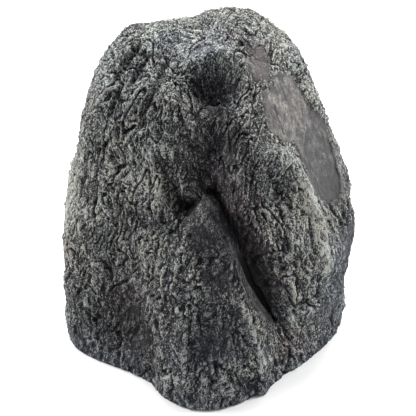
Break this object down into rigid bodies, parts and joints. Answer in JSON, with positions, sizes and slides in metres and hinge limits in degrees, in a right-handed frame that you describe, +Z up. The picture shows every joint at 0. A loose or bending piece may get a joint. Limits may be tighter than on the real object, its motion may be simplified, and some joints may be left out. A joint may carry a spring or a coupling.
{
  "type": "resin cave ornament",
  "caption": "Hollow cast-resin boulder for a tank or pond: a rugged charcoal rock with a slanting front slit, a smooth slab, a cave mouth at the back, a weighted floor and rubber feet.",
  "frame": {"origin": "on the ground under the middle of the rock's box", "axes": "+X to the right seen from the front, +Y towards the cave's mouth at the back, +Z up"},
  "size_m": [0.2686, 0.2746, 0.2969],
  "materials": {
    "rock_resin": "matt cast resin with a rugged stone grain, washed black in the hollows and dry-brushed light grey on the ridges",
    "slab_resin": "matt cast resin, smoother, brownish grey with a fine vertical grain",
    "plain_resin": "unpainted dark cast resin with a slightly rippled as-poured surface",
    "sand_resin": "sand bound in resin, coarse and dull",
    "foot_rubber": "matt black rubber"
  },
  "bodies": {
    "root": {"front_shell": "rock_resin", "rear_shell": "rock_resin", "slab_panel": "slab_resin", "seam_strip": "plain_resin", "floor_plate": "plain_resin", "ballast_front": "sand_resin", "ballast_left": "sand_resin", "ballast_right": "sand_resin", "foot_front_left": "foot_rubber", "foot_front_right": "foot_rubber", "foot_rear_left": "foot_rubber", "foot_rear_right": "foot_rubber"}
  },
  "joints": []
}
